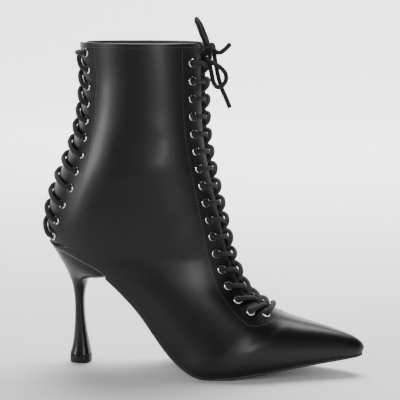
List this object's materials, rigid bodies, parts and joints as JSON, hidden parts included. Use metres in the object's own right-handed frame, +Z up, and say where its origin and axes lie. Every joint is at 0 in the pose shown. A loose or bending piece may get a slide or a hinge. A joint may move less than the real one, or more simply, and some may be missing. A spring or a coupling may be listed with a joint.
{
  "type": "lace-up ankle boot",
  "caption": "Black leather pointed-toe ankle boot for the right foot, with a slim flared high heel and lacing up the front and up the back.",
  "frame": {"origin": "centre of the heel lift's underside, on the floor", "axes": "+Z up, +X from heel to toe, -Y towards the outer side of the right foot"},
  "size_m": [0.246, 0.0792, 0.2634],
  "materials": {
    "black_leather": "smooth black leather with a soft gloss",
    "lining_leather": "plain black lining leather",
    "sole_black": "thin black sole, satin",
    "heel_cover": "glossy black heel cover",
    "lift_rubber": "hard black rubber",
    "lace_cord": "round matt black cord",
    "eyelet_metal": "bright silver metal"
  },
  "bodies": {
    "root": {"upper": "black_leather", "tongue": "black_leather", "back_panel": "black_leather", "insole": "lining_leather", "outsole": "sole_black", "heel": "heel_cover", "heel_lift": "lift_rubber", "front_lacing": "lace_cord", "back_lacing": "lace_cord", "bow_knot": "lace_cord", "bow_loop_upright": "lace_cord", "bow_loop_round": "lace_cord", "bow_end_short": "lace_cord", "bow_end_long": "lace_cord", "eyelet_outer_01": "eyelet_metal", "eyelet_outer_02": "eyelet_metal", "eyelet_outer_03": "eyelet_metal", "eyelet_outer_04": "eyelet_metal", "eyelet_outer_05": "eyelet_metal", "eyelet_outer_06": "eyelet_metal", "eyelet_outer_07": "eyelet_metal", "eyelet_outer_08": "eyelet_metal", "eyelet_outer_09": "eyelet_metal", "eyelet_outer_10": "eyelet_metal", "eyelet_outer_11": "eyelet_metal", "eyelet_outer_12": "eyelet_metal", "eyelet_outer_13": "eyelet_metal", "eyelet_outer_14": "eyelet_metal", "eyelet_outer_15": "eyelet_metal", "eyelet_outer_16": "eyelet_metal", "eyelet_outer_17": "eyelet_metal", "eyelet_inner_01": "eyelet_metal", "eyelet_inner_02": "eyelet_metal", "eyelet_inner_03": "eyelet_metal", "eyelet_inner_04": "eyelet_metal", "eyelet_inner_05": "eyelet_metal", "eyelet_inner_06": "eyelet_metal", "eyelet_inner_07": "eyelet_metal", "eyelet_inner_08": "eyelet_metal", "eyelet_inner_09": "eyelet_metal", "eyelet_inner_10": "eyelet_metal", "eyelet_inner_11": "eyelet_metal", "eyelet_inner_12": "eyelet_metal", "eyelet_inner_13": "eyelet_metal", "eyelet_inner_14": "eyelet_metal", "eyelet_inner_15": "eyelet_metal", "eyelet_inner_16": "eyelet_metal", "eyelet_inner_17": "eyelet_metal"}
  },
  "joints": []
}
